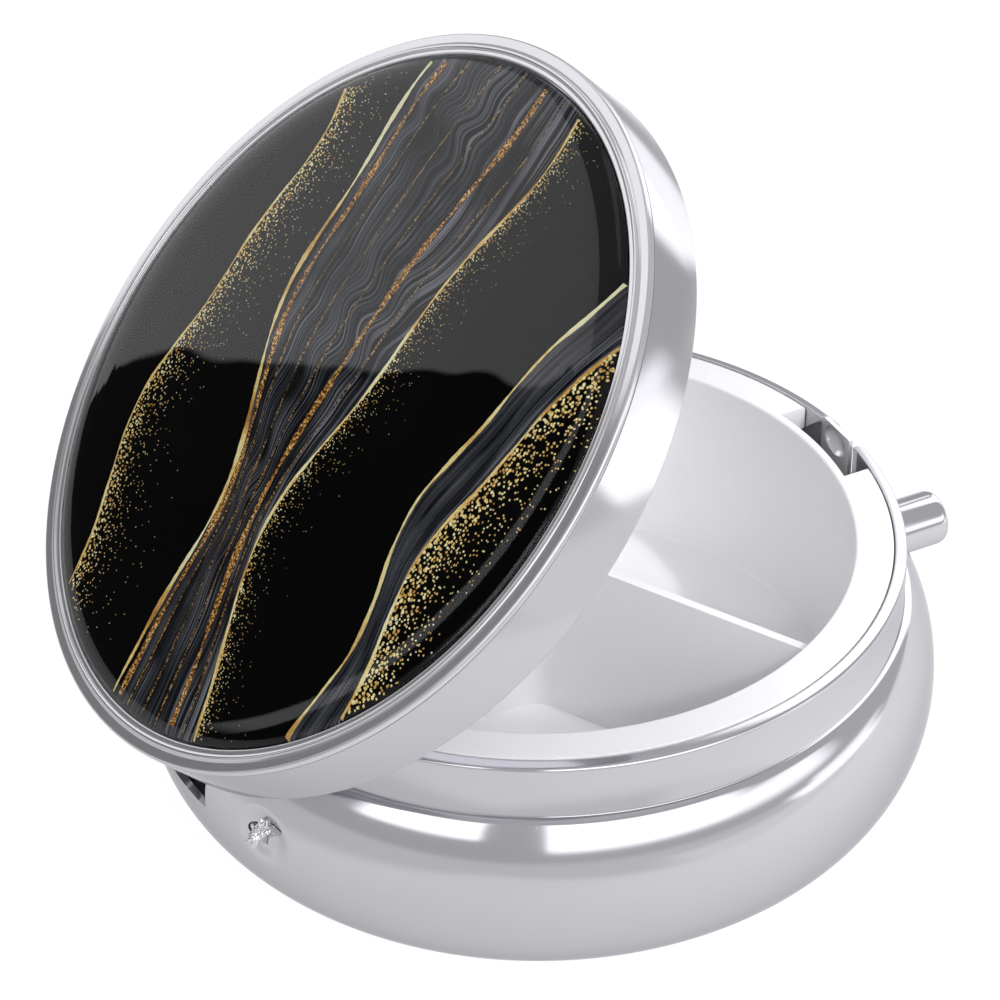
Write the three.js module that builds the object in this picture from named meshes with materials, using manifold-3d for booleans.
// Round push-button pill box, millimetres, +Z up.
// The origin is the centre of the flat bottom of the base. The hinge is at +Y and the button at -Y.
// The lid stands partly open, as it does on display.
import * as THREE from "three";
import { mergeVertices } from "three/addons/utils/BufferGeometryUtils.js";
import Module from "manifold-3d";

const wasm = await Module();
wasm.setup();

// ---------------------------------------------------------------- driving dimensions
const FACETS = 60; // facets round every large turned piece
const SMALL_FACETS = 20; // facets round pins and the button
const DEGREE = Math.PI / 180;
const OVERSHOOT = 1; // how far a cutting shape runs past what it cuts

// base bowl
const SHEET = 0.5; // thickness of the bowl
const FLOOR_RADIUS = 21.15; // edge of the flat bottom
const WAIST_RADIUS = 26.7; // widest point of the bowl
const WAIST_Z = 6.95; // its height
const SHOULDER_REACH = 4.2; // half axes of the elliptical upper wall
const SHOULDER_RISE = 7.3;
const CREASE_RADIUS = 24.4; // where the upper wall meets the lip
const LIP_OUTER = 24.33; // upright lip that the lid closes over
const LIP_INNER = 23.52;
const LIP_TOP = 17.14;
const LIP_ROUND = 0.3; // rounding of the lip's top edge
const COLLAR_SHEET = 0.35; // the lip runs on down inside the bowl as a short collar
const COLLAR_BOTTOM = 11.0;
const COLLAR_GAP_HALF = 2.5; // half width of the gap in the collar for the hook plate

// lid
const LID_RADIUS = 25.0;
const LID_WALL = 0.35; // thickness of the lid's skirt
const LID_CLOSED_Z = 14.1; // height of the skirt's lower edge when shut
const PANEL_UNDER = 4.0; // underside of the lid's panel above the skirt's lower edge
const PANEL_TOP = 4.25;
const PANEL_EDGE = 0.2; // bevel round the panel
const REST_OPEN = 44.7; // angle at which the lid stands
const STACK_GAP = 0.05; // glue line between the pieces in the lid
const BEZEL_INNER = 23.5;
const BEZEL_RISE = 0.32; // height of the bezel's rounded inner edge
const BEZEL_INNER_ROUND = 0.08;
const GROOVE_INSET = 0.6; // the shallow groove, in from the rim
const GROOVE_RISE = 0.2;
const BEAD_INSET = 0.45; // crest of the outer bead, in from the rim
const BEAD_RISE = 0.27;
const BEAD_ROUND = 0.1;
const PRINT_RADIUS = 23.4;
const PRINT_THICKNESS = 0.12;
const DOME_RADIUS = 23.4;
const DOME_EDGE = 0.3; // upright edge below the dome
const DOME_RISE = 1.0;

// hinge
const PIN_Y = 24.34;
const PIN_Z = 7.9;
const PIN_RADIUS = 0.6;
const PIN_HALF_LENGTH = 10.5;
const KNUCKLE_BORE = 0.75;
const KNUCKLE_RADIUS = 1.25;
const TAB_HALF_WIDTH = 4.15;
const TAB_GAP_HALF = 1.8; // half width of the cut-out that holds the spring
const SLOT_HALF_WIDTH = 4.5; // slot in the bowl that the tab swings in
const PIN_CLEARANCE = 0.2;
const SLOT_BOTTOM = 6.85;
const SLOT_TOP = 13.45;
const TAB_TOP = 1.0; // how far the tab's sheet overlaps the skirt
const SPRING_WINDOW = 3.2; // height of the spring's cut-out above the pin
const CRIMP_LENGTH = 0.7; // squashed end of the pin
const CRIMP_SCALE = 0.75;

// torsion spring on the pin
const SPRING_RADIUS = 1.0; // mean radius of the coil
const WIRE_RADIUS = 0.2;
const SPRING_TURNS = 3;
const SPRING_HALF_LENGTH = 1.2;
const BASE_LEG = 3.7;
const LID_LEG = 3.9;
const BASE_LEG_LEAN = 26; // lean of the lower leg out towards the wall
const LID_LEG_LEAN = 12; // lean of the upper leg towards the lid's tab

// latch and button
const BUTTON_RADIUS = 1.95;
const BUTTON_Z = 7.55;
const BUTTON_TIP_Y = -31.95;
const BUTTON_ROUND = 0.7;
const BUTTON_CLEARANCE = 0.25;
const NECK_RADIUS = 1.0;
const NECK_HOLE = 1.3; // hole in the sheets that the neck passes
const FLANGE_Y = -25.4; // outer face of the button's flange, inside the bowl
const FLANGE_THICKNESS = 0.6;
const FLANGE_RADIUS = 2.55;
const RIVET_HEAD_Y = -23.55; // face of the rivet head behind the hook plate
const RIVET_HEAD_THICKNESS = 0.45;
const RIVET_HEAD_RADIUS = 1.6;
const NOTCH_HALF_WIDTH = 1.5; // notch in the lip in front of the hook
const NOTCH_BOTTOM = 13.9;
const HOOK_WIDTH = 3.5;
const HOOK_SHEET = 0.3;
const HOOK_Y = -23.1; // upper, upright part of the hook plate
const HOOK_FOOT_Y = -23.95; // lower part, riveted to the button
const HOOK_TOP = 17.95;
const HOOK_FOOT_Z = 5.2;
const JOGGLE_LOW = 10.6; // slanted step between the two upright parts
const JOGGLE_HIGH = 12.6;
const DIMPLE_Z = 16.75; // centre of the pressed dimple that catches the lid
const DIMPLE_HALF = [1.2, 0.62, 1.0]; // half axes of the dimple
const LEAF_HALF_LENGTH = 8.5;
const LEAF_HALF_HEIGHT = 1.5;
const LEAF_OUTER_Y = -24.6;
const LEAF_THICKNESS = 0.25;
const CATCH_HALF_WIDTH = 1.15; // clip inside the front of the skirt
const CATCH_OUTER_Y = -24.5;
const CATCH_SHEET = 0.25;
const CATCH_LEDGE_Y = -23.72;
const CATCH_LEDGE_Z = 1.0;
const CATCH_LEDGE_THICKNESS = 0.4;

// tray
const TRAY_INNER = 20.94;
const TRAY_WALL_OUTER = 21.52;
const TRAY_RIM_RADIUS = 23.34;
const TRAY_RIM_UNDER = 15.4;
const TRAY_FLOOR_TOP = 2.8;
const TRAY_FLOOR_UNDER = 2.0;
const TRAY_FOOT_INNER = 20.14; // the wall runs on below the floor as a foot ring
const TRAY_FOOT_Z = 0.85;
const TRAY_DRAFT = 0.24; // how much the wall leans in towards the floor
const TRAY_EDGE = 0.2; // rounding of the flange
const DIVIDER_TOP = 15.8;
const DIVIDER_THICKNESS = 0.6;
const DIVIDER_FILLET = 2.0; // rounding where the dividers meet
const DIVIDER_ANGLES = [90, 210, 330];
const TRAY_SLOT_HALF_WIDTH = 4.15;

// ---------------------------------------------------------------- helpers
function arc(centreR, centreZ, halfR, halfZ, fromDegrees, toDegrees, steps) {
  const points = [];
  for (let i = 0; i <= steps; i += 1) {
    const angle = (fromDegrees + ((toDegrees - fromDegrees) * i) / steps) * DEGREE;
    points.push([centreR + halfR * Math.cos(angle), centreZ + halfZ * Math.sin(angle)]);
  }
  return points;
}

// Turns a profile of [radius, height] points about the Z axis.
function turned(profile, facets = FACETS) {
  const points = profile.map(([radius, height]) => new THREE.Vector2(Math.max(radius, 0), height));
  return new THREE.LatheGeometry(points, facets).rotateX(Math.PI / 2);
}

// Closes a ring-shaped profile on itself before it is turned.
function turnedRing(profile, facets = FACETS) {
  return turned([...profile, profile[0]], facets);
}

function block(low, high) {
  const size = high.map((value, i) => value - low[i]);
  const centre = high.map((value, i) => (value + low[i]) / 2);
  return new THREE.BoxGeometry(...size).translate(...centre);
}

// A straight round bar from one X to another.
function barAlongX(radius, fromX, toX, y, z, facets = SMALL_FACETS) {
  const bar = new THREE.CylinderGeometry(radius, radius, toX - fromX, facets);
  return bar.rotateZ(Math.PI / 2).translate((fromX + toX) / 2, y, z);
}

function barAlongY(radius, fromY, toY, x, z, facets = SMALL_FACETS) {
  const bar = new THREE.CylinderGeometry(radius, radius, toY - fromY, facets);
  return bar.translate(x, (fromY + toY) / 2, z);
}

// A folded strip: a centre line of [y, z] points, given a thickness and a width along X.
function foldedStrip(line, thickness, width) {
  const left = [];
  const right = [];
  line.forEach(([y, z], i) => {
    const before = line[Math.max(i - 1, 0)];
    const after = line[Math.min(i + 1, line.length - 1)];
    const length = Math.hypot(after[0] - before[0], after[1] - before[1]);
    const normal = [-(after[1] - before[1]) / length, (after[0] - before[0]) / length];
    left.push(new THREE.Vector2(y + (normal[0] * thickness) / 2, z + (normal[1] * thickness) / 2));
    right.unshift(new THREE.Vector2(y - (normal[0] * thickness) / 2, z - (normal[1] * thickness) / 2));
  });
  const shape = new THREE.Shape([...left, ...right]);
  const strip = new THREE.ExtrudeGeometry(shape, { depth: width, bevelEnabled: false });
  // The shape's X and Y become Y and Z, and its depth runs along X.
  strip.applyMatrix4(new THREE.Matrix4().set(0, 0, 1, -width / 2, 1, 0, 0, 0, 0, 1, 0, 0, 0, 0, 0, 1));
  return strip;
}

function solid(geometry) {
  const bare = geometry.clone();
  bare.deleteAttribute("normal");
  bare.deleteAttribute("uv");
  const merged = mergeVertices(bare, 1e-5);
  const corners = [];
  for (let i = 0; i < merged.index.count; i += 3) {
    const [a, b, c] = [merged.index.getX(i), merged.index.getX(i + 1), merged.index.getX(i + 2)];
    if (a !== b && b !== c && c !== a) {
      corners.push(a, b, c);
    }
  }
  const mesh = new wasm.Mesh({
    numProp: 3,
    vertProperties: new Float32Array(merged.attributes.position.array),
    triVerts: new Uint32Array(corners),
  });
  return new wasm.Manifold(mesh);
}

function geometryOf(manifold) {
  const mesh = manifold.getMesh();
  const geometry = new THREE.BufferGeometry();
  geometry.setAttribute("position", new THREE.BufferAttribute(new Float32Array(mesh.vertProperties), 3));
  geometry.setIndex(new THREE.BufferAttribute(new Uint32Array(mesh.triVerts), 1));
  geometry.computeVertexNormals();
  return geometry;
}

function cut(geometry, ...tools) {
  return geometryOf(tools.reduce((whole, tool) => whole.subtract(solid(tool)), solid(geometry)));
}

function join(geometry, ...others) {
  return geometryOf(others.reduce((whole, other) => whole.add(solid(other)), solid(geometry)));
}

function common(geometry, other) {
  return geometryOf(solid(geometry).intersect(solid(other)));
}

function material(color, roughness, metalness) {
  return new THREE.MeshStandardMaterial({ color, roughness, metalness });
}

const chrome = () => material(0xd6d6da, 0.12, 1.0);
const steel = () => material(0xb9babd, 0.25, 1.0);
const whitePlastic = () => material(0xf0f0f4, 0.45, 0.0);

function piece(name, geometry, look) {
  const mesh = new THREE.Mesh(geometry, look);
  mesh.name = name;
  return mesh;
}

// ---------------------------------------------------------------- base
// The outline of the bowl: flat bottom, two quarter ellipses, a crease, an upright lip and its collar.
function bowlProfile() {
  const lowerReach = WAIST_RADIUS - FLOOR_RADIUS;
  const upperCentre = WAIST_RADIUS - SHOULDER_REACH;
  const creaseAngle = Math.acos((CREASE_RADIUS - upperCentre) / SHOULDER_REACH) / DEGREE;
  const innerReach = SHOULDER_REACH - SHEET;
  const innerAngle = Math.acos((LIP_INNER + COLLAR_SHEET - upperCentre) / innerReach) / DEGREE;
  const creaseZ = WAIST_Z + SHOULDER_RISE * Math.sin(creaseAngle * DEGREE);
  return [
    [0, 0],
    ...arc(FLOOR_RADIUS, WAIST_Z, lowerReach, WAIST_Z, -90, 0, 7),
    ...arc(upperCentre, WAIST_Z, SHOULDER_REACH, SHOULDER_RISE, 0, creaseAngle, 5).slice(1),
    [LIP_OUTER, creaseZ + SHEET / 2],
    ...arc(LIP_OUTER - LIP_ROUND, LIP_TOP - LIP_ROUND, LIP_ROUND, LIP_ROUND, 0, 90, 2),
    ...arc(LIP_INNER + LIP_ROUND, LIP_TOP - LIP_ROUND, LIP_ROUND, LIP_ROUND, 90, 180, 2),
    [LIP_INNER, COLLAR_BOTTOM],
    [LIP_INNER + COLLAR_SHEET, COLLAR_BOTTOM],
    ...arc(upperCentre, WAIST_Z, innerReach, SHOULDER_RISE - SHEET, innerAngle, 0, 5),
    ...arc(FLOOR_RADIUS, WAIST_Z, lowerReach - SHEET, WAIST_Z - SHEET, 0, -90, 6).slice(1),
    [0, SHEET],
  ];
}

function baseShell() {
  const beyond = WAIST_RADIUS + OVERSHOOT;
  const hingeSlot = block(
    [-SLOT_HALF_WIDTH, FLOOR_RADIUS, SLOT_BOTTOM],
    [SLOT_HALF_WIDTH, beyond, SLOT_TOP],
  );
  const pinHoles = barAlongX(PIN_RADIUS + PIN_CLEARANCE, -beyond / 2, beyond / 2, PIN_Y, PIN_Z);
  const buttonHole = barAlongY(BUTTON_RADIUS + BUTTON_CLEARANCE, -beyond, -FLOOR_RADIUS, 0, BUTTON_Z);
  const notch = block(
    [-NOTCH_HALF_WIDTH, -CREASE_RADIUS - OVERSHOOT, NOTCH_BOTTOM],
    [NOTCH_HALF_WIDTH, -LIP_INNER + OVERSHOOT, LIP_TOP + OVERSHOOT],
  );
  const collarGap = block(
    [-COLLAR_GAP_HALF, -LIP_INNER - COLLAR_SHEET, COLLAR_BOTTOM - OVERSHOOT],
    [COLLAR_GAP_HALF, -LIP_INNER + OVERSHOOT, NOTCH_BOTTOM],
  );
  const shell = cut(turned(bowlProfile()), hingeSlot, pinHoles, buttonHole, notch, collarGap);
  return piece("base_shell", shell, chrome());
}

// The three dividers as one upright extrusion, with filleted corners where they meet.
function trayDividers() {
  const half = DIVIDER_THICKNESS / 2;
  const reach = TRAY_INNER + TRAY_EDGE;
  const sector = Math.PI / DIVIDER_ANGLES.length;
  const steps = 4;
  const outline = [];
  DIVIDER_ANGLES.forEach((degrees) => {
    const way = degrees * DEGREE;
    const along = new THREE.Vector2(Math.cos(way), Math.sin(way));
    const aside = new THREE.Vector2(-along.y, along.x);
    outline.push(along.clone().multiplyScalar(reach).addScaledVector(aside, -half));
    outline.push(along.clone().multiplyScalar(reach).addScaledVector(aside, half));
    const centre = new THREE.Vector2(Math.cos(way + sector), Math.sin(way + sector));
    centre.multiplyScalar((half + DIVIDER_FILLET) / Math.sin(sector));
    for (let i = 0; i <= steps; i += 1) {
      const turn = way - Math.PI / 2 - (sector * i) / steps;
      outline.push(
        new THREE.Vector2(Math.cos(turn), Math.sin(turn)).multiplyScalar(DIVIDER_FILLET).add(centre),
      );
    }
  });
  const foot = (TRAY_FLOOR_TOP + TRAY_FLOOR_UNDER) / 2;
  const options = { depth: DIVIDER_TOP - foot, bevelEnabled: false };
  return new THREE.ExtrudeGeometry(new THREE.Shape(outline), options).translate(0, 0, foot);
}

// One white moulding: a cup with a raised floor, three dividers and a flange that fills the lip.
function compartmentTray() {
  const cup = turned([
    [0, TRAY_FLOOR_UNDER],
    [TRAY_FOOT_INNER, TRAY_FLOOR_UNDER],
    [TRAY_FOOT_INNER, TRAY_FOOT_Z],
    [TRAY_WALL_OUTER - TRAY_EDGE, TRAY_FOOT_Z],
    [TRAY_WALL_OUTER, TRAY_RIM_UNDER],
    [TRAY_RIM_RADIUS, TRAY_RIM_UNDER],
    [TRAY_RIM_RADIUS, LIP_TOP - TRAY_EDGE],
    [TRAY_RIM_RADIUS - TRAY_EDGE, LIP_TOP - STACK_GAP],
    [TRAY_INNER + TRAY_EDGE, LIP_TOP - STACK_GAP],
    [TRAY_INNER, LIP_TOP - TRAY_EDGE],
    [TRAY_INNER - TRAY_DRAFT, TRAY_FLOOR_TOP],
    [0, TRAY_FLOOR_TOP],
  ]);
  const slotRing = turnedRing([
    [TRAY_WALL_OUTER, TRAY_RIM_UNDER - OVERSHOOT],
    [TRAY_RIM_RADIUS + OVERSHOOT, TRAY_RIM_UNDER - OVERSHOOT],
    [TRAY_RIM_RADIUS + OVERSHOOT, LIP_TOP + OVERSHOOT],
    [TRAY_WALL_OUTER, LIP_TOP + OVERSHOOT],
  ]);
  const slotWindow = block(
    [-TRAY_SLOT_HALF_WIDTH, -LID_RADIUS, TRAY_FLOOR_TOP],
    [TRAY_SLOT_HALF_WIDTH, -TRAY_RIM_RADIUS / 2, LIP_TOP + 2 * OVERSHOOT],
  );
  const tray = cut(join(cup, trayDividers()), common(slotRing, slotWindow));
  return piece("compartment_tray", tray, whitePlastic());
}

// ---------------------------------------------------------------- latch
// Button, flange, neck and riveted tail, turned about the Y axis.
function pushButton() {
  const along = (y) => -y;
  const profile = [
    [0, along(RIVET_HEAD_Y + RIVET_HEAD_THICKNESS)],
    [RIVET_HEAD_RADIUS, along(RIVET_HEAD_Y + RIVET_HEAD_THICKNESS)],
    [RIVET_HEAD_RADIUS, along(RIVET_HEAD_Y)],
    [NECK_RADIUS, along(RIVET_HEAD_Y)],
    [NECK_RADIUS, along(FLANGE_Y + FLANGE_THICKNESS)],
    [FLANGE_RADIUS, along(FLANGE_Y + FLANGE_THICKNESS)],
    [FLANGE_RADIUS, along(FLANGE_Y)],
    [BUTTON_RADIUS, along(FLANGE_Y)],
    ...arc(
      BUTTON_RADIUS - BUTTON_ROUND,
      along(BUTTON_TIP_Y) - BUTTON_ROUND,
      BUTTON_ROUND,
      BUTTON_ROUND,
      0,
      90,
      4,
    ),
    [0, along(BUTTON_TIP_Y)],
  ];
  const geometry = turned(profile, SMALL_FACETS).rotateX(Math.PI / 2).translate(0, 0, BUTTON_Z);
  return piece("push_button", geometry, chrome());
}

function ellipsoid(halfAxes, centre) {
  return new THREE.SphereGeometry(1, 16, 10).scale(...halfAxes).translate(...centre);
}

function hookPlate() {
  const plate = foldedStrip(
    [
      [HOOK_FOOT_Y, HOOK_FOOT_Z],
      [HOOK_FOOT_Y, JOGGLE_LOW],
      [HOOK_Y, JOGGLE_HIGH],
      [HOOK_Y, HOOK_TOP],
    ],
    HOOK_SHEET,
    HOOK_WIDTH,
  );
  const outerFace = HOOK_Y - HOOK_SHEET / 2;
  const innerFace = HOOK_Y + HOOK_SHEET / 2;
  const bulge = ellipsoid(DIMPLE_HALF, [0, outerFace, DIMPLE_Z]);
  const hollow = ellipsoid(
    DIMPLE_HALF.map((half) => half - HOOK_SHEET / 2),
    [0, innerFace, DIMPLE_Z],
  );
  const behind = block(
    [-HOOK_WIDTH, innerFace, JOGGLE_HIGH],
    [HOOK_WIDTH, innerFace + 2 * OVERSHOOT, HOOK_TOP + OVERSHOOT],
  );
  const neckHole = barAlongY(NECK_HOLE, HOOK_FOOT_Y - OVERSHOOT, HOOK_FOOT_Y + OVERSHOOT, 0, BUTTON_Z);
  return piece("hook_plate", cut(join(plate, bulge), hollow, behind, neckHole), steel());
}

// A straight leaf that spans the inside of the bowl and pushes the button out.
function leafSpring() {
  const strip = block(
    [-LEAF_HALF_LENGTH, LEAF_OUTER_Y, BUTTON_Z - LEAF_HALF_HEIGHT],
    [LEAF_HALF_LENGTH, LEAF_OUTER_Y + LEAF_THICKNESS, BUTTON_Z + LEAF_HALF_HEIGHT],
  );
  const neckHole = barAlongY(NECK_HOLE, LEAF_OUTER_Y - OVERSHOOT, LEAF_OUTER_Y + OVERSHOOT, 0, BUTTON_Z);
  return piece("leaf_spring", cut(strip, neckHole), steel());
}

// ---------------------------------------------------------------- hinge
// The pin has a slightly squashed head at each end, outside the bowl.
function hingePin() {
  const inner = PIN_HALF_LENGTH - CRIMP_LENGTH;
  const profile = [
    [0, -PIN_HALF_LENGTH],
    [PIN_RADIUS * CRIMP_SCALE, -PIN_HALF_LENGTH],
    [PIN_RADIUS, -inner],
    [PIN_RADIUS, inner],
    [PIN_RADIUS * CRIMP_SCALE, PIN_HALF_LENGTH],
    [0, PIN_HALF_LENGTH],
  ];
  const geometry = turned(profile, SMALL_FACETS).rotateY(Math.PI / 2).translate(0, PIN_Y, PIN_Z);
  return piece("hinge_pin", geometry, steel());
}

// The centre line of the torsion spring: lower leg, coil, upper leg.
class SpringLine extends THREE.Curve {
  constructor() {
    super();
    this.start = 180 + BASE_LEG_LEAN;
    this.end = 180 - (REST_OPEN + LID_LEG_LEAN) - 360 * SPRING_TURNS;
    this.coil = Math.abs(this.end - this.start) * DEGREE * SPRING_RADIUS;
    this.length = BASE_LEG + this.coil + LID_LEG;
  }

  onCoil(share) {
    const angle = (this.start + (this.end - this.start) * share) * DEGREE;
    return new THREE.Vector3(
      -SPRING_HALF_LENGTH + 2 * SPRING_HALF_LENGTH * share,
      PIN_Y + SPRING_RADIUS * Math.cos(angle),
      PIN_Z + SPRING_RADIUS * Math.sin(angle),
    );
  }

  leg(share, degrees, distance) {
    const way = new THREE.Vector3(0, Math.sin(degrees * DEGREE), -Math.cos(degrees * DEGREE));
    return this.onCoil(share).addScaledVector(way, distance);
  }

  getPoint(t) {
    const along = t * this.length;
    if (along < BASE_LEG) {
      return this.leg(0, this.start, along - BASE_LEG);
    }
    if (along > BASE_LEG + this.coil) {
      return this.leg(1, this.end, along - BASE_LEG - this.coil);
    }
    return this.onCoil((along - BASE_LEG) / this.coil);
  }
}

function hingeSpring() {
  const sides = 6;
  const section = [];
  for (let i = 0; i < sides; i += 1) {
    const angle = (i / sides) * 2 * Math.PI;
    section.push(new THREE.Vector2(WIRE_RADIUS * Math.cos(angle), WIRE_RADIUS * Math.sin(angle)));
  }
  const wire = new THREE.ExtrudeGeometry(new THREE.Shape(section), {
    steps: 64,
    bevelEnabled: false,
    extrudePath: new SpringLine(),
  });
  return piece("hinge_spring", wire, steel());
}

// ---------------------------------------------------------------- lid
// The lid's own frame has its origin at the centre of the skirt's lower edge.
function lidShell() {
  const inner = LID_RADIUS - LID_WALL;
  const cup = turned([
    [0, PANEL_UNDER],
    [inner, PANEL_UNDER],
    [inner, 0],
    [LID_RADIUS, 0],
    [LID_RADIUS, PANEL_TOP - PANEL_EDGE],
    [LID_RADIUS - PANEL_EDGE, PANEL_TOP],
    [0, PANEL_TOP],
  ]);
  const pinInLid = PIN_Z - LID_CLOSED_Z;
  const tabBottom = pinInLid + KNUCKLE_BORE + PANEL_EDGE;
  const wall = turnedRing([
    [inner, tabBottom],
    [LID_RADIUS, tabBottom],
    [LID_RADIUS, TAB_TOP],
    [inner, TAB_TOP],
  ]);
  const tabBox = block(
    [-TAB_HALF_WIDTH, inner / 2, tabBottom - OVERSHOOT],
    [TAB_HALF_WIDTH, LID_RADIUS + OVERSHOOT, TAB_TOP + OVERSHOOT],
  );
  const springGap = block(
    [-TAB_GAP_HALF, inner / 2, pinInLid - KNUCKLE_RADIUS - OVERSHOOT],
    [TAB_GAP_HALF, LID_RADIUS + 2 * OVERSHOOT, pinInLid + SPRING_WINDOW],
  );
  const knuckles = barAlongX(KNUCKLE_RADIUS, -TAB_HALF_WIDTH, TAB_HALF_WIDTH, PIN_Y, pinInLid);
  const bore = barAlongX(KNUCKLE_BORE, -SLOT_HALF_WIDTH, SLOT_HALF_WIDTH, PIN_Y, pinInLid);
  const tab = cut(join(common(wall, tabBox), knuckles), springGap, bore);
  return piece("lid_shell", join(cup, tab), chrome());
}

// A ring with a rounded inner edge, a flat, a shallow groove and an outer bead.
function bezelRing() {
  const under = PANEL_TOP + STACK_GAP;
  const profile = [
    [BEZEL_INNER, under],
    [LID_RADIUS - BEAD_ROUND, under],
    [LID_RADIUS, under + BEAD_ROUND],
    [LID_RADIUS - BEAD_ROUND, under + GROOVE_RISE],
    [LID_RADIUS - BEAD_INSET, under + BEAD_RISE],
    [LID_RADIUS - GROOVE_INSET, under + GROOVE_RISE],
    [BEZEL_INNER + 2 * BEZEL_INNER_ROUND, under + BEZEL_RISE],
    [BEZEL_INNER + BEZEL_INNER_ROUND, under + BEZEL_RISE],
    [BEZEL_INNER, under + BEZEL_RISE - BEZEL_INNER_ROUND],
  ];
  return piece("bezel_ring", turnedRing(profile), chrome());
}

function printedDisc() {
  const under = PANEL_TOP + STACK_GAP;
  const top = under + PRINT_THICKNESS;
  const disc = turned([
    [0, under],
    [PRINT_RADIUS, under],
    [PRINT_RADIUS, top],
    [0, top],
  ]);
  return piece("printed_disc", disc, material(0x101012, 0.35, 0.0));
}

// A clear plano-convex cap: flat below, with a low dome above an upright edge.
function crystalDome() {
  const under = PANEL_TOP + 2 * STACK_GAP + PRINT_THICKNESS;
  const cap = arc(0, under + DOME_EDGE, DOME_RADIUS, DOME_RISE, 0, 90, 7);
  const clear = material(0xf4f6f8, 0.05, 0.0);
  clear.transparent = true;
  clear.opacity = 0.35;
  return piece("crystal_dome", turned([[0, under], [DOME_RADIUS, under], ...cap]), clear);
}

// A small clip inside the front of the skirt; its ledge sits under the hook's dimple when shut.
function lidCatch() {
  const upright = block(
    [-CATCH_HALF_WIDTH, CATCH_OUTER_Y, CATCH_LEDGE_Z],
    [CATCH_HALF_WIDTH, CATCH_OUTER_Y + CATCH_SHEET, PANEL_UNDER - CATCH_SHEET],
  );
  const ledge = block(
    [-CATCH_HALF_WIDTH, CATCH_OUTER_Y, CATCH_LEDGE_Z],
    [CATCH_HALF_WIDTH, CATCH_LEDGE_Y, CATCH_LEDGE_Z + CATCH_LEDGE_THICKNESS],
  );
  return piece("lid_catch", join(upright, ledge), steel());
}

// ---------------------------------------------------------------- assembly
const pillBox = new THREE.Group();
pillBox.add(baseShell(), compartmentTray(), pushButton(), hookPlate(), leafSpring());
pillBox.add(hingePin(), hingeSpring());

const lidSwing = new THREE.Group();
lidSwing.position.set(0, PIN_Y, PIN_Z);
lidSwing.rotation.x = -REST_OPEN * DEGREE;
const lid = new THREE.Group();
lid.position.set(0, -PIN_Y, LID_CLOSED_Z - PIN_Z);
lid.add(lidShell(), bezelRing(), printedDisc(), crystalDome(), lidCatch());
lidSwing.add(lid);
pillBox.add(lidSwing);

export default pillBox;
